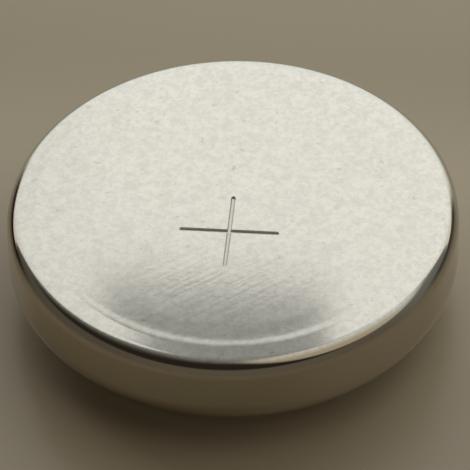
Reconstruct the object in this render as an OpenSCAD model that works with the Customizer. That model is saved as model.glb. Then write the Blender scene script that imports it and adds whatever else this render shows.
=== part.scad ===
// Alkaline button cell, positive face up, standing on the negative cap.
// Every piece is turned about Z from a half-section, with radius along X and height along Y.

/* [Cell] */
// Height over the two contact faces
cell_height = 3.05; // [2.6:0.05:5.6]
// Outer diameter of the can
can_diameter = 11.6; // [9:0.1:14]

/* [Positive can] */
// Thickness of the drawn steel sheet
can_sheet = 0.22; // [0.16:0.01:0.3]
// Outer radius of the shoulder round the positive face
shoulder_radius = 0.45; // [0.35:0.05:0.6]
// Width of the sloping land between the contact face and the shoulder
land_width = 0.4; // [0.2:0.05:0.8]
// Drop of the land from the contact face to the shoulder
land_drop = 0.03; // [0.01:0.01:0.08]
// Outer radius of the edge that is crimped in over the gasket
crimp_radius = 1; // [0.7:0.05:1.2]
// Reach of the crimped rim in from the outside of the can wall
crimp_reach = 0.9; // [0.75:0.05:1.2]

/* [Negative cap] */
// Thickness of the clad sheet
cap_sheet = 0.18; // [0.12:0.01:0.24]
// Height from the negative face to the top of the folded rim
cap_height = 1.78; // [1.65:0.01:2.3]
// Distance that the cap stands out below the crimped rim
cap_projection = 0.65; // [0.3:0.05:0.85]
// Outer radius of the edge round the negative face
cap_edge_radius = 0.45; // [0.3:0.05:0.6]
// Inner radius of the bends at the step in the cap
cap_bend_radius = 0.06; // [0.04:0.01:0.12]
// Slit between the two legs of the folded rim
fold_slit = 0.06; // [0.04:0.01:0.1]

/* [Sealing gasket] */
// Thickness between the can wall and the folded rim of the cap
gasket_wall = 0.2; // [0.12:0.01:0.26]
// Share of that thickness which is left where the folded rim pinches it against the crimp
gasket_pinch = 0.5; // [0.3:0.05:0.9]
// Thickness between the crimped rim and the step of the cap
gasket_lip = 0.18; // [0.12:0.01:0.28]
// Width of the ring that shows between the crimped rim and the cap
gasket_ring = 0.2; // [0.12:0.01:0.3]
// Depth that the ring sits in from the face of the crimped rim
gasket_set_back = 0.06; // [0.02:0.01:0.12]
// Width of the foot that clamps the barrier film
gasket_foot = 0.95; // [0.7:0.05:1.4]

/* [Active materials] */
// Thickness of the barrier film
film_thickness = 0.06; // [0.03:0.01:0.1]
// Gap round the edge of the barrier film
film_clearance = 0.05; // [0.02:0.01:0.1]
// Thickness of the absorbent pad, and of the gasket foot round it
pad_thickness = 0.16; // [0.1:0.01:0.3]

/* [Hidden] */
$fn = 128;

// Can: outside, inside, contact face and mouth
can_r = can_diameter / 2;
can_inner_r = can_r - can_sheet;
can_floor_z = cell_height - can_sheet;
contact_r = can_r - shoulder_radius - land_width;
mouth_r = can_r - crimp_reach;
crimp_inner_r = crimp_radius - can_sheet;
crimp_center_z = cap_projection + crimp_radius;

// Stack on top of the cap: pad and gasket foot, film, then the pellet up to the floor of the can
film_z = cap_height + pad_thickness;
pellet_z = film_z + film_thickness;
foot_r = can_inner_r - gasket_foot;

// Cap: hat in the mouth of the can, step under the crimp, folded rim
hat_r = mouth_r - gasket_ring;
step_z = cap_projection + can_sheet + gasket_lip;
rim_r = can_inner_r - gasket_wall;
leg_r = rim_r - cap_sheet - fold_slit;
fold_r = (leg_r + rim_r - cap_sheet) / 2;
fold_outer_r = cap_sheet + fold_slit / 2;
fold_z = cap_height - fold_outer_r;
bend_r = min(cap_bend_radius, (leg_r - hat_r - cap_sheet) / 2, (fold_z - step_z - cap_sheet) / 2);

// Lower end of the outer leg, where the crimp leaves only the pinched thickness of the gasket
pinch_r = crimp_inner_r - gasket_wall * gasket_pinch;
pinch_rise = sqrt(pow(pinch_r, 2) - pow(crimp_inner_r - gasket_wall, 2));
outer_leg_z = max(crimp_center_z - pinch_rise, step_z);

// Region between a quarter circle and the corner of the square round it.
// It is cut from an outer corner to round it, and added to an inner one to fill it.
module corner(radius) {
    difference() {
        square(radius);
        circle(radius);
    }
}

// Half-section of a disc, with its outer corners rounded
module disc_section(radius, low_z, high_z, low_round = 0, high_round = 0) {
    difference() {
        translate([0, low_z]) square([radius, high_z - low_z]);
        if (low_round > 0)
            translate([radius - low_round, low_z + low_round]) mirror([0, 1]) corner(low_round);
        if (high_round > 0)
            translate([radius - high_round, high_z - high_round]) corner(high_round);
    }
}

// Outside of the can: contact face, land, shoulder, wall and crimp
module can_outside() {
    shoulder_z = cell_height - land_drop;
    disc_section(can_r, cap_projection, shoulder_z, crimp_radius, shoulder_radius);
    polygon([
        [0, can_floor_z],
        [can_r - shoulder_radius, can_floor_z],
        [can_r - shoulder_radius, shoulder_z],
        [contact_r, cell_height],
        [0, cell_height]
    ]);
}

// Space inside the can, with its mouth open downwards from mouth_z
module can_inside(mouth_z) {
    disc_section(
        can_inner_r, cap_projection + can_sheet, can_floor_z,
        crimp_inner_r, shoulder_radius - can_sheet
    );
    translate([0, mouth_z]) square([mouth_r, crimp_center_z - mouth_z]);
}

// One face of the cap's sheet, set in from the outer face: the hat, then the step, up to high_z
module cap_face(inset, high_z) {
    radius = hat_r - inset;
    step = step_z + inset;
    fill = bend_r + inset;
    disc_section(radius, inset, high_z, cap_edge_radius - inset);
    disc_section(leg_r - inset, step, high_z, bend_r + cap_sheet - inset);
    translate([radius + fill, step - fill]) mirror([1, 0]) corner(fill);
}

// Outer leg of the folded rim, and the round turn at the top of the fold
module cap_fold() {
    translate([rim_r - cap_sheet, outer_leg_z]) square([cap_sheet, fold_z - outer_leg_z]);
    translate([fold_r, fold_z]) intersection() {
        difference() {
            circle(fold_outer_r);
            circle(fold_slit / 2);
        }
        translate([-fold_outer_r, 0]) square([2 * fold_outer_r, fold_outer_r]);
    }
}

// Drawn steel cup, its rim crimped in over the gasket
module positive_can() {
    color("#d6d3c8") rotate_extrude() difference() {
        can_outside();
        can_inside(0);
    }
}

// Pressed disc of manganese dioxide and graphite, seated in the floor of the can
module cathode_pellet() {
    color("#26262a") rotate_extrude()
        disc_section(can_inner_r, pellet_z, can_floor_z, 0, shoulder_radius - can_sheet);
}

// Thin film across the cathode, clamped by the gasket foot
module barrier_film() {
    color("#e6dfc4") rotate_extrude()
        disc_section(can_inner_r - film_clearance, film_z, pellet_z);
}

// Fibre disc that holds the electrolyte, inside the gasket foot
module absorbent_pad() {
    color("#f1efe8") rotate_extrude() disc_section(foot_r, cap_height, film_z);
}

// Zinc powder gel that fills the cap
module anode_gel() {
    color("#7d8288") rotate_extrude() cap_face(cap_sheet, cap_height);
}

// Moulded ring between the can and the cap: lip, wall and foot
module sealing_gasket() {
    lip_z = cap_projection + gasket_set_back;
    color("#e9e4d2") rotate_extrude() difference() {
        intersection() {
            can_inside(lip_z);
            square([can_r, film_z]);
        }
        cap_face(0, fold_z);
        cap_face(cap_sheet, cap_height);
        translate([leg_r, outer_leg_z]) square([rim_r - leg_r, fold_z - outer_leg_z]);
        translate([fold_r, fold_z]) circle(fold_outer_r);
        disc_section(foot_r, cap_height, film_z);
    }
}

// Stepped cap, its rim folded back outwards
module negative_cap() {
    color("#cfcdc4") rotate_extrude() {
        difference() {
            cap_face(0, fold_z);
            cap_face(cap_sheet, cap_height);
        }
        cap_fold();
    }
}

positive_can();
cathode_pellet();
barrier_film();
absorbent_pad();
anode_gel();
sealing_gasket();
negative_cap();
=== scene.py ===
"""Looks of an alkaline button cell, positive face up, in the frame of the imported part."""
import math

import bmesh
import bpy
import numpy as np
from mathutils import Matrix, Vector
from mathutils.geometry import delaunay_2d_cdt


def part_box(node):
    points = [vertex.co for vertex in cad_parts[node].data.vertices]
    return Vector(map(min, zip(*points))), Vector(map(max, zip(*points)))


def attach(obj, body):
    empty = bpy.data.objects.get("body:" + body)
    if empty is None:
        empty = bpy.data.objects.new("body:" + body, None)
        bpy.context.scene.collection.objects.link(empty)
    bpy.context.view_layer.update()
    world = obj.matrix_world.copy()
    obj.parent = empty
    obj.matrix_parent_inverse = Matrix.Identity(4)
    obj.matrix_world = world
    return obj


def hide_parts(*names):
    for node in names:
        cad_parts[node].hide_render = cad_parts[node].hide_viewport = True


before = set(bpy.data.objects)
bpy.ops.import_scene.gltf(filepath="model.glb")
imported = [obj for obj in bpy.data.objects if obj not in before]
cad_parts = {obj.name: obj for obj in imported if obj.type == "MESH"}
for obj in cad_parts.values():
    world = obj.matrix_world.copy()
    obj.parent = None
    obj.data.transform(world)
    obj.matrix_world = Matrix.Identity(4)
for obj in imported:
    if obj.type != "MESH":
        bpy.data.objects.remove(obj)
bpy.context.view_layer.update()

MM = 0.001
ROOT = "root"

# Sizes that the frame gives, in millimetres
_, can_high = (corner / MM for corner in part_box("positive_can"))
_, cap_high = (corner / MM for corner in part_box("negative_cap"))
gasket_low, gasket_high = (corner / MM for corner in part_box("sealing_gasket"))
_, pad_high = (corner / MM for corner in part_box("absorbent_pad"))
CELL_HEIGHT = can_high.z
CAN_R = can_high.x
CAP_HEIGHT = cap_high.z
RIM_R = cap_high.x
CAN_INNER_R = gasket_high.x
LIP_Z = gasket_low.z
FILM_Z = gasket_high.z
FOOT_R = pad_high.x

# Sizes of the sheet-metal sections, in millimetres
CAN_SHEET = CAN_R - CAN_INNER_R
CAP_SHEET = 0.18
SHOULDER_R = 0.45
LAND_WIDTH = 0.4
LAND_DROP = 0.03
CRIMP_R = 1.0
CRIMP_REACH = 0.9
CAP_PROJECTION = 0.65
CAP_EDGE_R = 0.45
CAP_BEND_R = 0.06
FOLD_SLIT = 0.06
GASKET_WALL = 0.2
GASKET_PINCH = 0.5  # share of the wall that is left at the crimp
GASKET_LIP = 0.18
GASKET_RING = 0.2
EDGE_BREAK = 0.03

# Places along the can's section
CONTACT_R = CAN_R - SHOULDER_R - LAND_WIDTH
MOUTH_R = CAN_R - CRIMP_REACH
CRIMP_CENTER = (CAN_R - CRIMP_R, CAP_PROJECTION + CRIMP_R)
CRIMP_INNER_R = CRIMP_R - CAN_SHEET

# Places along the cap's section
HAT_R = MOUTH_R - GASKET_RING
STEP_Z = CAP_PROJECTION + CAN_SHEET + GASKET_LIP
LEG_R = RIM_R - CAP_SHEET - FOLD_SLIT
FOLD_CENTER = (LEG_R + FOLD_SLIT / 2, CAP_HEIGHT - CAP_SHEET - FOLD_SLIT / 2)
FOLD_OUTER_R = CAP_SHEET + FOLD_SLIT / 2
PINCH_R = CRIMP_INNER_R - GASKET_WALL * GASKET_PINCH
LEG_END_Z = CRIMP_CENTER[1] - math.sqrt(PINCH_R ** 2 - (CRIMP_INNER_R - GASKET_WALL) ** 2)

# Plus mark on the face, in millimetres
PLUS_CENTER = (0.0, -0.93)
PLUS_REACH = 1.22
GROOVE_HALF_WIDTH = 0.062
GROOVE_BOTTOM = 0.03
GROOVE_DEPTH = 0.05

# Shallow valley that the stamping leaves inside the edge of the contact face, in millimetres
VALLEY_FALL = 0.55
VALLEY_RISE = 0.30
VALLEY_DEPTH = 0.007
RIDGE_OFFSET = 0.12
RIDGE_R = CONTACT_R + RIDGE_OFFSET

# Fineness of the meshes, with angles in degrees and lengths in millimetres
SEGMENTS = 240
ARC_STEP = 6.0
BEND_STEP = 15.0
SLIT_STEP = 20.0
BREAK_STEP = 30.0
SHARP_ANGLE = 40.0
VALLEY_STEPS = 8
FACE_PITCH = 0.4
LINE_MARGIN = 0.02
SAME_PLACE = 1e-5


def arc(center, radius, start, end, step=ARC_STEP):
    """Points on a circle in a half-section, from one angle to another, in degrees."""
    count = max(2, math.ceil(abs(end - start) / step))
    angles = np.radians(np.linspace(start, end, count + 1))
    return [(center[0] + radius * math.cos(a), center[1] + radius * math.sin(a)) for a in angles]


def line(start, end):
    """A straight stretch of a half-section. Points close to its ends keep its shading flat."""
    (r0, z0), (r1, z1) = start, end
    length = math.hypot(r1 - r0, z1 - z0)
    if length < 4 * LINE_MARGIN:
        return [start, end]
    share = LINE_MARGIN / length
    return [(r0 + (r1 - r0) * t, z0 + (z1 - z0) * t) for t in (0, share, 0.5, 1 - share, 1)]


def path(*stretches):
    """Joins stretches end to end and drops repeated points."""
    points = [stretches[0][0]]
    for stretch in stretches:
        for point in stretch:
            if math.dist(point, points[-1]) > SAME_PLACE:
                points.append(point)
    return points


def crimp_angle(r, radius):
    """Angle in degrees at which a circle about the crimp's centre is at a distance from the axis."""
    return math.degrees(math.acos((r - CRIMP_CENTER[0]) / radius))


def weld(mesh):
    """Joins vertices that lie on each other, and turns all faces outwards."""
    work = bmesh.new()
    work.from_mesh(mesh)
    bmesh.ops.remove_doubles(work, verts=work.verts, dist=SAME_PLACE * MM)
    bmesh.ops.recalc_face_normals(work, faces=work.faces)
    work.to_mesh(mesh)
    work.free()


class Turned:
    """Collects the vertices and faces of a mesh that is turned about Z, in millimetres."""

    def __init__(self):
        self.verts = []
        self.faces = []
        self.angles = np.linspace(0, 2 * math.pi, SEGMENTS, endpoint=False)

    def ring(self, r, z):
        """A ring of vertices, or the single one on the axis."""
        start = len(self.verts)
        if r < SAME_PLACE:
            self.verts.append((0, 0, z))
            return [start] * SEGMENTS
        self.verts += [(r * math.cos(a), r * math.sin(a), z) for a in self.angles]
        return list(range(start, start + SEGMENTS))

    def strip(self, outer, inner):
        """Faces between two rings."""
        for i in range(SEGMENTS):
            j = (i + 1) % SEGMENTS
            corners = [outer[i], outer[j], inner[j], inner[i]]
            self.faces.append(list(dict.fromkeys(corners)))

    def skin(self, points, closed=False):
        """Turns a half-section and returns its first ring."""
        rings = [self.ring(r, z) for r, z in points]
        for a, b in zip(rings, rings[1:] + rings[:1] if closed else rings[1:]):
            self.strip(a, b)
        return rings[0]

    def piece(self, name, node, slot, material):
        """Makes the Blender object, which stands for its CAD node."""
        mesh = bpy.data.meshes.new(name)
        mesh.from_pydata([tuple(c * MM for c in v) for v in self.verts], [], self.faces)
        mesh.validate()
        weld(mesh)
        mesh.shade_smooth()
        mesh.set_sharp_from_angle(angle=math.radians(SHARP_ANGLE))
        mesh.materials.append(material)
        piece = bpy.data.objects.new(name, mesh)
        bpy.context.scene.collection.objects.link(piece)
        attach(piece, ROOT)
        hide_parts(node)


class Nodes:
    """A node tree, with short calls for the nodes that the finishes and the room share."""

    def __init__(self, tree):
        self.nodes = tree.nodes
        self.links = tree.links

    def node(self, kind, inputs=(), **settings):
        """Adds a node with its settings. An input is a number, a vector or another node's output."""
        node = self.nodes.new(kind)
        for name, value in settings.items():
            setattr(node, name, value)
        for socket, value in dict(inputs).items():
            if isinstance(value, bpy.types.NodeSocket):
                self.links.new(value, node.inputs[socket])
            else:
                node.inputs[socket].default_value = value
        return node

    def math(self, operation, a, b):
        """Joins two numbers by an operation."""
        return self.node("ShaderNodeMath", {0: a, 1: b}, operation=operation).outputs[0]

    def times(self, a, b):
        """Product of two numbers."""
        return self.math("MULTIPLY", a, b)

    def plus(self, a, b):
        """Sum of two numbers."""
        return self.math("ADD", a, b)

    def ramp(self, value, low, high, out_low=0.0, out_high=1.0):
        """Maps a range smoothly onto another."""
        inputs = {"Value": value, "From Min": low, "From Max": high}
        inputs |= {"To Min": out_low, "To Max": out_high}
        node = self.node("ShaderNodeMapRange", inputs, interpolation_type="SMOOTHSTEP")
        return node.outputs["Result"]

    def blend(self, share, low, high):
        """A number between two others."""
        return self.node("ShaderNodeMix", {0: share, 2: low, 3: high}).outputs[0]

    def mix(self, share, low, high):
        """A colour between two others."""
        low, high = ((*c, 1) if isinstance(c, tuple) else c for c in (low, high))
        return self.node("ShaderNodeMix", {0: share, 6: low, 7: high}, data_type="RGBA").outputs[2]


class Shader(Nodes):
    """A material's node tree, in which places are in millimetres."""

    def __init__(self, name):
        self.material = bpy.data.materials.new(name)
        self.material.use_nodes = True
        super().__init__(self.material.node_tree)
        self.bsdf = self.nodes["Principled BSDF"]
        coords = self.node("ShaderNodeTexCoord")
        self.mm = self.vector("SCALE", {0: coords.outputs["Object"], "Scale": 1 / MM}).outputs[0]

    def vector(self, operation, inputs):
        """Adds a vector-math node."""
        return self.node("ShaderNodeVectorMath", inputs, operation=operation)

    def set(self, **values):
        """Sets the shader's own sockets, with spaces in their names written as underscores."""
        for name, value in values.items():
            self.bsdf.inputs[name.replace("_", " ")].default_value = value

    def link(self, output, socket):
        """Links a node's output to one of the shader's own sockets."""
        self.links.new(output, self.bsdf.inputs[socket])

    def moved(self, size, turn_deg):
        """Place in units of a size along each axis, after a turn about Z."""
        inputs = {"Vector": self.mm, "Scale": size, "Rotation": (0, 0, math.radians(turn_deg))}
        return self.node("ShaderNodeMapping", inputs, vector_type="TEXTURE").outputs[0]

    def noise(self, scale, detail=3.0, rough=0.5, vector=None):
        """Noise that has a number of features to a millimetre, or to a unit of another place."""
        inputs = {"Vector": vector or self.mm, "Scale": scale, "Detail": detail, "Roughness": rough}
        return self.node("ShaderNodeTexNoise", inputs).outputs["Fac"]

    def spread(self, noise, out_low=0.0, out_high=1.0):
        """Maps the middle of a noise, where most of it lies, onto a range."""
        return self.ramp(noise, 0.3, 0.7, out_low, out_high)

    def axis(self, name):
        """Place along one axis."""
        return self.node("ShaderNodeSeparateXYZ", {0: self.mm}).outputs[name]

    def radius(self):
        """Distance from the Z axis."""
        flat = self.vector("MULTIPLY", {0: self.mm, 1: (1, 1, 0)}).outputs[0]
        return self.vector("LENGTH", {0: flat}).outputs["Value"]

    def bump(self, height, depth_mm):
        """Bumps of a height that a depth in millimetres scales."""
        inputs = {"Height": height, "Strength": 1.0, "Distance": depth_mm * MM}
        self.link(self.node("ShaderNodeBump", inputs).outputs[0], "Normal")


# Painted shade in the plus mark: a dark tint on the walls of the grooves, where shade falls
GROOVE_SHADE = (0.20, 0.17, 0.13)
GROOVE_SHADE_START = 0.24  # shares of the groove's depth, from the face down
GROOVE_SHADE_FULL = 0.5
GROOVE_SHADE_FADE = 0.84
GROOVE_SHADE_ON_WALLS = 0.55
GROOVE_SHADE_ON_BOTTOM = 0.4  # share of the painted shade on the walls
GROOVE_SHADE_EDGE = (3.9, 4.1)  # radii beyond the mark, in millimetres


def groove_shade_share(s, z, r):
    """How much painted shade there is: most on the walls of the groove, and none outside the mark."""
    start_z, full_z, fade_z, bottom_z = (
        CELL_HEIGHT - share * GROOVE_DEPTH for share in (GROOVE_SHADE_START, GROOVE_SHADE_FULL, GROOVE_SHADE_FADE, 1)
    )
    walls = s.ramp(z, full_z, start_z, GROOVE_SHADE_ON_WALLS, 0)
    bottom = s.ramp(z, bottom_z, fade_z, GROOVE_SHADE_ON_BOTTOM, 1)
    return s.times(s.times(walls, bottom), s.ramp(r, *GROOVE_SHADE_EDGE, 1, 0))


# Nickel plate of the can
# The polished wall is real, but its darker, warmer tone is painted shade that stands in for its dark
# reflection
SHADED_POLISH = (0.54, 0.49, 0.405)
SATIN_DARK = (0.80, 0.79, 0.74)
SATIN_LIGHT = (0.95, 0.94, 0.885)
SATIN_METALLIC = 0.66
SATIN_DEPTH = 0.05  # satin down to this depth below the face, in millimetres
POLISH_DEPTH = 0.12  # polish from this depth on
SATIN_ROUGHNESS = (0.135, 0.15)
STREAK_ROUGHNESS = 0.025  # on top of the satin
POLISH_ROUGHNESS = (0.06, 0.10)
SPECK = (0.42, 0.39, 0.34)
STREAK_SIZE = (2.0, 0.12, 1.0)
STREAK_TURN = 38.0
BUMP_DEPTH = 0.0014  # in millimetres
BUMP_FADE = (2.9, 4.4)  # radii between which the bumps grow fainter, in millimetres


def nickel_can():
    """Satin nickel plate on the face, with painted shade in the grooves of the mark, and a polish from
    the shoulder down whose darker tone is painted shade.
    """
    s = Shader("nickel_plate")
    z, r = s.axis("Z"), s.radius()
    face = s.ramp(z, CELL_HEIGHT - POLISH_DEPTH, CELL_HEIGHT - SATIN_DEPTH)
    grain = s.noise(7)
    cloud = s.noise(3.2, detail=2)
    streaks = s.noise(1, detail=1, vector=s.moved(STREAK_SIZE, STREAK_TURN))
    tone = s.blend(0.35, s.blend(0.35, grain, cloud), s.noise(20, detail=2))
    mottle = s.mix(s.ramp(tone, 0.38, 0.62), SATIN_DARK, SATIN_LIGHT)
    specks = s.ramp(s.noise(5.5, detail=0), 0.77, 0.83, 0, 0.3)
    # Below the satin face the plate takes the darker polished tone, which is painted shade
    before_groove_shade = s.mix(face, SHADED_POLISH, s.mix(specks, mottle, SPECK))
    # Painted shade: the walls of the grooves are tinted dark, as if shade falls in them
    s.link(s.mix(groove_shade_share(s, z, r), before_groove_shade, GROOVE_SHADE), "Base Color")
    satin = s.plus(s.spread(grain, *SATIN_ROUGHNESS), s.ramp(streaks, 0.35, 0.7, 0, STREAK_ROUGHNESS))
    s.link(s.blend(face, s.spread(cloud, *POLISH_ROUGHNESS), satin), "Roughness")
    texture = s.times(s.plus(grain, streaks), s.ramp(r, *BUMP_FADE, 1, 0.2))
    s.bump(s.times(texture, face), BUMP_DEPTH)
    s.link(s.blend(face, 1.0, SATIN_METALLIC), "Metallic")
    return s.material


def clad_cap():
    """Fine satin nickel side of the clad sheet."""
    s = Shader("clad_sheet")
    grain = s.noise(12)
    mottle = s.noise(1.2)
    s.link(s.mix(s.spread(mottle), (0.66, 0.64, 0.59), (0.72, 0.70, 0.65)), "Base Color")
    s.link(s.spread(grain, 0.2, 0.27), "Roughness")
    s.bump(grain, BUMP_DEPTH)
    s.set(Metallic=1.0)
    return s.material


def nylon():
    """Natural nylon, a little translucent."""
    s = Shader("nylon")
    cloud = s.noise(2.5)
    s.link(s.mix(s.spread(cloud), (0.62, 0.57, 0.44), (0.72, 0.68, 0.56)), "Base Color")
    s.link(s.spread(cloud, 0.38, 0.5), "Roughness")
    s.bump(s.noise(22, detail=2, rough=0.55), depth_mm=0.002)
    s.set(Subsurface_Weight=0.25, Subsurface_Scale=0.2 * MM)
    return s.material


def cathode_mix():
    """Pressed black powder with bright graphite flecks."""
    s = Shader("cathode_mix")
    grit = s.noise(30, detail=4, rough=0.7)
    s.link(s.mix(s.ramp(grit, 0.62, 0.75), (0.012, 0.012, 0.013), (0.09, 0.09, 0.095)), "Base Color")
    s.link(s.ramp(grit, 0.3, 0.75, 0.75, 0.42), "Roughness")
    s.bump(grit, depth_mm=0.008)
    return s.material


def film():
    """Thin amber cellulose film."""
    s = Shader("barrier_film")
    cloud = s.noise(1.5)
    s.link(s.mix(s.spread(cloud), (0.70, 0.62, 0.42), (0.80, 0.74, 0.56)), "Base Color")
    s.link(s.spread(cloud, 0.22, 0.34), "Roughness")
    s.bump(cloud, depth_mm=0.004)
    return s.material


def fibre_pad():
    """White nonwoven fibre, in two layers that cross."""
    s = Shader("fibre_pad")
    fibre_size = (0.2, 0.025, 0.2)
    layers = [s.noise(1, detail=4, rough=0.7, vector=s.moved(fibre_size, turn)) for turn in (20, 75)]
    fibres = s.math("MAXIMUM", *layers)
    s.link(s.mix(s.ramp(fibres, 0.4, 0.7), (0.62, 0.61, 0.56), (0.84, 0.83, 0.79)), "Base Color")
    s.bump(fibres, depth_mm=0.02)
    s.set(Roughness=0.9)
    return s.material


def zinc_gel():
    """Grey paste of zinc powder."""
    s = Shader("zinc_gel")
    grit = s.noise(18, detail=4, rough=0.7)
    s.link(s.mix(s.ramp(grit, 0.35, 0.7), (0.13, 0.14, 0.15), (0.34, 0.36, 0.38)), "Base Color")
    s.link(s.ramp(grit, 0.35, 0.7, 0.55, 0.3), "Roughness")
    s.bump(grit, depth_mm=0.012)
    return s.material


# Plus mark: two crossed grooves with round ends, as patches of a fine grid
GROOVE_LEVELS = np.array([0, 0.3, 0.48, 0.56, 0.64, 0.72, 0.8, 0.9, 1.0, 1.15, 1.4]) * GROOVE_HALF_WIDTH
GROOVE_BAND = GROOVE_LEVELS[-1]
GROOVE_ACROSS = np.concatenate([-GROOVE_LEVELS[:0:-1], GROOVE_LEVELS])
ARM_STEPS = 16
ARM_ALONG = np.linspace(GROOVE_BAND, PLUS_REACH, ARM_STEPS + 1)
END_STEPS = 12
END_ANGLES = np.linspace(-math.pi / 2, math.pi / 2, END_STEPS + 1)
MARK_CLEARANCE = 2.5 * GROOVE_BAND
NO_TURN = (1, 0)
QUARTER_TURNS = (NO_TURN, (0, 1), (-1, 0), (0, -1))


def groove_height(distance):
    """Height of the face beside the middle of a stroke: flat bottom, then a rounded wall."""
    share = (distance - GROOVE_BOTTOM) / (GROOVE_HALF_WIDTH - GROOVE_BOTTOM)
    share = min(max(share, 0), 1)
    return -GROOVE_DEPTH * 0.5 * (1 + math.cos(math.pi * share))


def stroke_distance(x, y):
    """Distance from a point of the face to the middle of the nearer stroke."""
    x, y = abs(x - PLUS_CENTER[0]), abs(y - PLUS_CENTER[1])
    return min(math.hypot(max(x - PLUS_REACH, 0), y), math.hypot(x, max(y - PLUS_REACH, 0)))


def placed(points, turn):
    """Points of the mark in their place on the face, after a turn given by its cosine and sine."""
    cos, sin = turn
    return [(x * cos - y * sin + PLUS_CENTER[0], x * sin + y * cos + PLUS_CENTER[1]) for x, y in points]


def round_end(distance):
    """Points at a distance round the end of the arm along X."""
    return [(PLUS_REACH + distance * math.cos(a), distance * math.sin(a)) for a in END_ANGLES]


def plus_grids():
    """Grids of points for the crossing, the four arms and their round ends, each as a list of rows."""
    crossing = [[(x, y) for y in GROOVE_ACROSS] for x in GROOVE_ACROSS]
    arm = [[(x, y) for y in GROOVE_ACROSS] for x in ARM_ALONG]
    end = [round_end(level) for level in GROOVE_LEVELS]
    grids = [[placed(row, NO_TURN) for row in crossing]]
    for turn in QUARTER_TURNS:
        grids += [[placed(row, turn) for row in grid] for grid in (arm, end)]
    return grids


def plus_outline():
    """Points round the outside of the mark, in order."""
    quarter = [(x, -GROOVE_BAND) for x in ARM_ALONG]
    quarter += round_end(GROOVE_BAND)[1:-1]
    quarter += [(x, GROOVE_BAND) for x in ARM_ALONG[:0:-1]]
    return [point for turn in QUARTER_TURNS for point in placed(quarter, turn)]


def open_points(radius):
    """Rings of points over the rest of the flat face, clear of the mark and of the edge."""
    points = []
    for r in np.arange(0.75 * FACE_PITCH, radius - 0.5 * FACE_PITCH, FACE_PITCH):
        count = max(6, round(2 * math.pi * r / FACE_PITCH))
        for i in range(count):
            a = 2 * math.pi * (i + 0.5) / count
            x, y = r * math.cos(a), r * math.sin(a)
            if stroke_distance(x, y) > MARK_CLEARANCE:
                points.append((x, y))
    return points


def add_plus_mark(can):
    """Adds the patches of the grooves."""
    for grid in plus_grids():
        start = len(can.verts)
        width = len(grid[0])
        for row in grid:
            can.verts += [(x, y, CELL_HEIGHT + groove_height(stroke_distance(x, y))) for x, y in row]
        for i in range(len(grid) - 1):
            for j in range(width - 1):
                corner = start + i * width + j
                can.faces.append([corner, corner + width, corner + width + 1, corner + 1])


def add_flat_face(can, rim):
    """Fills the flat of the contact face, between the mark and a ring of vertices round it."""
    edge = [can.verts[i][:2] for i in rim]
    outline = plus_outline()
    loops = [(i, (i + 1) % len(edge)) for i in range(len(edge))]
    loops += [(len(edge) + i, len(edge) + (i + 1) % len(outline)) for i in range(len(outline))]
    flat = [Vector(p) for p in edge + outline + open_points(math.hypot(*edge[0]))]
    inside_loops, tolerance = 1, 1e-6
    points, _, triangles, *_ = delaunay_2d_cdt(flat, loops, [], inside_loops, tolerance)
    start = len(can.verts)
    can.verts += [(p.x, p.y, CELL_HEIGHT) for p in points]
    for triangle in triangles:
        middle = sum((points[i] for i in triangle), Vector((0, 0))) / 3
        if stroke_distance(*middle) > GROOVE_BAND:
            can.faces.append([start + i for i in triangle])


def valley():
    """Half-section of the valley, from the flat of the face out to the ridge round it."""
    bottom_r = RIDGE_R - VALLEY_RISE
    fall = (bottom_r - VALLEY_FALL, VALLEY_FALL, 0)
    rise = (bottom_r, VALLEY_RISE, math.pi)
    points = []
    for start_r, width, phase in (fall, rise):
        for share in np.linspace(0, 1, VALLEY_STEPS + 1):
            depth = VALLEY_DEPTH * 0.5 * (1 - math.cos(phase + math.pi * share))
            points.append((start_r + width * share, CELL_HEIGHT - depth))
    return points


def can_outside():
    """Outer face of the can: valley, land, shoulder, wall and crimp."""
    land_r = CAN_R - SHOULDER_R
    land_z = CELL_HEIGHT - LAND_DROP
    return path(
        valley(),
        line((RIDGE_R, CELL_HEIGHT), (land_r, land_z)),
        arc((land_r, land_z - SHOULDER_R), SHOULDER_R, 90, 0),
        line((CAN_R, land_z - SHOULDER_R), (CAN_R, CRIMP_CENTER[1])),
        arc(CRIMP_CENTER, CRIMP_R, 0, -crimp_angle(MOUTH_R + EDGE_BREAK, CRIMP_R)),
    )


def can_inside():
    """Inner face of the can, from the crimp up to the axis."""
    floor_z = CELL_HEIGHT - CAN_SHEET
    corner = SHOULDER_R - CAN_SHEET
    return path(
        arc(CRIMP_CENTER, CRIMP_INNER_R, -crimp_angle(MOUTH_R + EDGE_BREAK, CRIMP_INNER_R), 0),
        line((CAN_INNER_R, CRIMP_CENTER[1]), (CAN_INNER_R, floor_z - corner)),
        arc((CAN_INNER_R - corner, floor_z - corner), corner, 0, 90),
        line((CAN_INNER_R - corner, floor_z), (0, floor_z)),
    )


def positive_can(material):
    """Drawn cup: face with its mark, land, shoulder, wall, crimp and inside."""
    outside, inside = can_outside(), can_inside()
    low_z, high_z = outside[-1][1], inside[0][1]
    edge_r = MOUTH_R + EDGE_BREAK
    edge = path(
        arc((edge_r, low_z + EDGE_BREAK), EDGE_BREAK, 270, 180, BREAK_STEP),
        arc((edge_r, high_z - EDGE_BREAK), EDGE_BREAK, 180, 90, BREAK_STEP),
    )
    can = Turned()
    rim = can.skin(path(outside, edge, inside))
    add_plus_mark(can)
    add_flat_face(can, rim)
    can.piece("can_shell", "positive_can", "nickel_plate", material)


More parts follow.
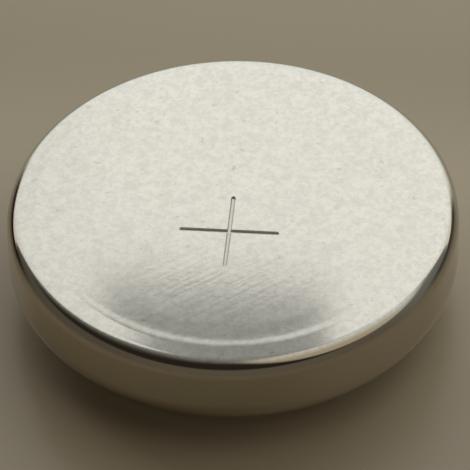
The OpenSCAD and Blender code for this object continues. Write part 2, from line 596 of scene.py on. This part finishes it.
def cap_outside():
    """Outer face of the cap, from the axis up to the fold."""
    corner = CAP_BEND_R + CAP_SHEET
    return path(
        line((0, 0), (HAT_R - CAP_EDGE_R, 0)),
        arc((HAT_R - CAP_EDGE_R, CAP_EDGE_R), CAP_EDGE_R, -90, 0),
        line((HAT_R, CAP_EDGE_R), (HAT_R, STEP_Z - CAP_BEND_R)),
        arc((HAT_R + CAP_BEND_R, STEP_Z - CAP_BEND_R), CAP_BEND_R, 180, 90, BEND_STEP),
        line((HAT_R + CAP_BEND_R, STEP_Z), (LEG_R - corner, STEP_Z)),
        arc((LEG_R - corner, STEP_Z + corner), corner, -90, 0),
        line((LEG_R, STEP_Z + corner), (LEG_R, FOLD_CENTER[1])),
    )


def cap_inside():
    """Inner face of the cap, from the fold down to the axis."""
    hat_r = HAT_R - CAP_SHEET
    leg_r = LEG_R - CAP_SHEET
    step_z = STEP_Z + CAP_SHEET
    corner = CAP_BEND_R + CAP_SHEET
    edge = CAP_EDGE_R - CAP_SHEET
    return path(
        line((leg_r, FOLD_CENTER[1]), (leg_r, step_z + CAP_BEND_R)),
        arc((leg_r - CAP_BEND_R, step_z + CAP_BEND_R), CAP_BEND_R, 0, -90, BEND_STEP),
        line((leg_r - CAP_BEND_R, step_z), (hat_r + corner, step_z)),
        arc((hat_r + corner, step_z - corner), corner, 90, 180),
        line((hat_r, step_z - corner), (hat_r, CAP_EDGE_R)),
        arc((hat_r - edge, CAP_EDGE_R), edge, 0, -90),
        line((hat_r - edge, CAP_SHEET), (0, CAP_SHEET)),
    )


def negative_cap(material):
    """Stepped cap with its rim folded back outwards."""
    slit_r = RIM_R - CAP_SHEET
    cap = Turned()
    cap.skin(path(
        cap_outside(),
        arc(FOLD_CENTER, FOLD_SLIT / 2, 180, 0, SLIT_STEP),
        line((slit_r, FOLD_CENTER[1]), (slit_r, LEG_END_Z)),
        line((slit_r, LEG_END_Z), (RIM_R, LEG_END_Z)),
        line((RIM_R, LEG_END_Z), (RIM_R, FOLD_CENTER[1])),
        arc(FOLD_CENTER, FOLD_OUTER_R, 0, 180),
        cap_inside(),
    ))
    cap.piece("cap_shell", "negative_cap", "clad_sheet", material)


def sealing_gasket(material):
    """Moulded ring: lip in the mouth of the can, wall round the fold, foot under the film."""
    leg_r = LEG_R - CAP_SHEET
    along_cap = [(r, z) for r, z in cap_outside() if r > HAT_R - SAME_PLACE and LIP_Z < z < LEG_END_Z]
    gasket = Turned()
    gasket.skin(path(
        line((HAT_R, LIP_Z), (MOUTH_R, LIP_Z)),
        arc(CRIMP_CENTER, CRIMP_INNER_R, -crimp_angle(MOUTH_R, CRIMP_INNER_R), 0),
        line((CAN_INNER_R, CRIMP_CENTER[1]), (CAN_INNER_R, FILM_Z)),
        line((CAN_INNER_R, FILM_Z), (FOOT_R, FILM_Z)),
        line((FOOT_R, FILM_Z), (FOOT_R, CAP_HEIGHT)),
        line((FOOT_R, CAP_HEIGHT), (leg_r, CAP_HEIGHT)),
        line((leg_r, CAP_HEIGHT), (leg_r, FOLD_CENTER[1])),
        arc(FOLD_CENTER, FOLD_OUTER_R, 180, 0),
        line((RIM_R, FOLD_CENTER[1]), (RIM_R, LEG_END_Z)),
        line((RIM_R, LEG_END_Z), (LEG_R, LEG_END_Z)),
        along_cap[::-1],
    ), closed=True)
    gasket.piece("gasket_ring", "sealing_gasket", "nylon", material)


positive_can(nickel_can())
negative_cap(clad_cap())
sealing_gasket(nylon())
for node, material in (
    ("cathode_pellet", cathode_mix()),
    ("barrier_film", film()),
    ("absorbent_pad", fibre_pad()),
    ("anode_gel", zinc_gel()),
):
    node_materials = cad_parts[node].data.materials
    node_materials.clear()
    node_materials.append(material)

# Camera of the photograph, in degrees, millimetres and pixels
AZIMUTH = 6.3
ELEVATION = 44.3
ROLL = -1.65
DISTANCE = 156.4
SENSOR_WIDTH = 36
FOCAL_PX = 6110.7
IMAGE_PX = 470
FACE_PX = (232.4, 205.9)  # where the middle of the face falls


def photo_camera():
    """Looks down on the cell so that the middle of its face falls on its place in the picture."""
    az, el, roll = (math.radians(a) for a in (AZIMUTH, ELEVATION, ROLL))
    back = Vector((math.sin(az) * math.cos(el), -math.cos(az) * math.cos(el), math.sin(el)))
    level = Vector((math.cos(az), math.sin(az), 0))
    rise = back.cross(level)
    right = level * math.cos(roll) + rise * math.sin(roll)
    up = rise * math.cos(roll) - level * math.sin(roll)
    mm_per_px = DISTANCE / FOCAL_PX
    shift_right = (IMAGE_PX / 2 - FACE_PX[0]) * mm_per_px
    shift_down = (IMAGE_PX / 2 - FACE_PX[1]) * mm_per_px
    place = Vector((0, 0, CELL_HEIGHT)) + back * DISTANCE + right * shift_right - up * shift_down
    turn = Matrix((right, up, back)).transposed().to_4x4()
    data = bpy.data.cameras.new("photo_camera")
    data.sensor_width = SENSOR_WIDTH
    data.lens = SENSOR_WIDTH * FOCAL_PX / IMAGE_PX
    data.clip_start = 0.01
    data.clip_end = 10
    camera = bpy.data.objects.new("photo_camera", data)
    camera.matrix_world = Matrix.Translation(place * MM) @ turn
    bpy.context.scene.collection.objects.link(camera)
    bpy.context.scene.camera = camera


def stage_piece(name, corners, faces, material):
    """A flat-sided piece of the stage, from corners in millimetres."""
    mesh = bpy.data.meshes.new(name)
    mesh.from_pydata([[c * MM for c in corner] for corner in corners], [], faces)
    mesh.materials.append(material)
    piece = bpy.data.objects.new(name, mesh)
    bpy.context.scene.collection.objects.link(piece)
    return piece


# Floor, in millimetres
FLOOR_HALF = 600.0
FLOOR_COLOR = (0.55, 0.475, 0.35, 1)


def pale_floor():
    """Plain pale table top with a slight sheen."""
    s = Shader("floor")
    s.set(Base_Color=FLOOR_COLOR, Roughness=0.28, Specular_IOR_Level=0.5)
    corners = [(x * FLOOR_HALF, y * FLOOR_HALF, 0) for x, y in ((-1, -1), (1, -1), (1, 1), (-1, 1))]
    stage_piece("floor", corners, [(0, 1, 2, 3)], s.material)


# Soft card behind the cell, with its outline in X and Z from the lower left corner, in millimetres
CARD_Y = 12.0
CARD_OUTLINE = [
    (-28.0, 8.0), (22.0, 8.0), (22.0, 44.0), (7.8, 44.0),
    (1.15, 18.05), (-5.3, 18.05), (-10.1, 58.0), (-28.0, 58.0),
]
CARD_LIP = 2.5  # reach of the level lip, to the front and to the back
CARD_FADE = (-9, -3)  # in X, between the radiance on the left and on the right
CARD_LEFT = 0.9
CARD_RIGHT = 1.02
WARM_WHITE = (1.0, 0.98, 0.93)


def soft_card():
    """A glowing card that the camera doesn't see. The lip at its foot lights the floor below it."""
    s = Shader("soft_card")
    s.set(Base_Color=(0, 0, 0, 1), Specular_IOR_Level=0.0, Emission_Color=(*WARM_WHITE, 1))
    s.link(s.ramp(s.axis("X"), *CARD_FADE, CARD_LEFT, CARD_RIGHT), "Emission Strength")
    sheet = [(x, CARD_Y, z) for x, z in CARD_OUTLINE]
    (left, _, foot), (right, _, _) = sheet[:2]
    front, rear = CARD_Y - CARD_LIP, CARD_Y + CARD_LIP
    lip = [(left, front, foot), (right, front, foot), (right, rear, foot), (left, rear, foot)]
    count = len(sheet)
    faces = [range(count), range(count, count + len(lip))]
    card = stage_piece("soft_card", sheet + lip, faces, s.material)
    card.visible_camera = False


# Radiance and tints of the parts of the room
LOW_LEFT = 0.12
LOW_FRONT = 0.15
DARK_FRONT = 0.028
OVERHEAD = 0.08
BEHIND = 0.225
BAND = 0.74
WINDOW = 0.54
STRIP_LEFT = 0.12  # shares of the light that are left in the dark strips
STRIP_RIGHT = 0.3
COOL_WHITE = (0.94, 0.99, 0.94)
DUSK = (1.0, 0.89, 0.72)

# Where the parts of the room fade, by how far a view goes up, to the right or to the back
LOW_RIGHTWARD = (-0.9, -0.3)
DARK_UPWARD = (0.45, 0.62)
OVERHEAD_UPWARD = (0.93, 0.99)
BEHIND_WAY = (0.2, 1, 0)
BEHIND_EDGE = (-0.15, 0.5)
BEHIND_RIGHTWARD = (-0.85, -0.5)
SIDE_SQUARE = (0.2, 0.46)  # square of the way to the right
STRIP_UPWARD = (0.13, 0.32)
STRIP_RIGHTWARD = (-0.5, 0.5)
STRIP_BACKWARD = (0.1, 0.45)
BAND_BACKWARD = (0.25, 0.45)
BAND_UPWARD = (0.55, 0.66)
WINDOW_WAY = (0.5, -0.05, 0.86)
WINDOW_EDGE = (0.85, 0.93)


def room():
    """Dim room: brighter behind the cell, dark strips at the sides, a window high on the right."""
    world = bpy.data.worlds.new("room")
    world.use_nodes = True
    n = Nodes(world.node_tree)
    way = n.node("ShaderNodeTexCoord").outputs["Generated"]

    def toward(direction):
        """How far the view goes in a direction, from -1 to 1."""
        inputs = {0: way, 1: Vector(direction).normalized()}
        return n.node("ShaderNodeVectorMath", inputs, operation="DOT_PRODUCT").outputs["Value"]

    rightward = toward((1, 0, 0))
    backward = toward((0, 1, 0))
    upward = toward((0, 0, 1))
    side = n.ramp(n.times(rightward, rightward), *SIDE_SQUARE)

    # Dim light low in front and overhead, a dark stretch between them, and more light behind
    behind = n.times(n.ramp(toward(BEHIND_WAY), *BEHIND_EDGE), n.ramp(rightward, *BEHIND_RIGHTWARD))
    low = n.ramp(rightward, *LOW_RIGHTWARD, LOW_LEFT, LOW_FRONT)
    high = n.ramp(upward, *OVERHEAD_UPWARD, DARK_FRONT, OVERHEAD)
    base = n.blend(behind, n.ramp(upward, *DARK_UPWARD, low, high), BEHIND)

    # Dark strips above the horizon, which draw the outline of the can at both sides
    share = n.ramp(rightward, *STRIP_RIGHTWARD, STRIP_LEFT, STRIP_RIGHT)
    strip = n.ramp(upward, *STRIP_UPWARD, share, 1)
    base = n.times(base, n.blend(n.times(side, n.ramp(backward, *STRIP_BACKWARD)), 1.0, strip))

    # Bright band low behind, which carries on from the card
    band = n.times(n.ramp(backward, *BAND_BACKWARD), n.ramp(upward, *BAND_UPWARD, BAND, 0))
    band = n.times(band, n.ramp(side, 0, 1, 1, 0))

    window = n.ramp(toward(WINDOW_WAY), *WINDOW_EDGE, 0, WINDOW)
    background = n.nodes["Background"]
    n.links.new(n.mix(behind, DUSK, COOL_WHITE), background.inputs["Color"])
    n.links.new(n.plus(base, n.plus(band, window)), background.inputs["Strength"])
    bpy.context.scene.world = world


photo_camera()
pale_floor()
soft_card()
room()
bpy.context.scene.view_settings.view_transform = "Standard"
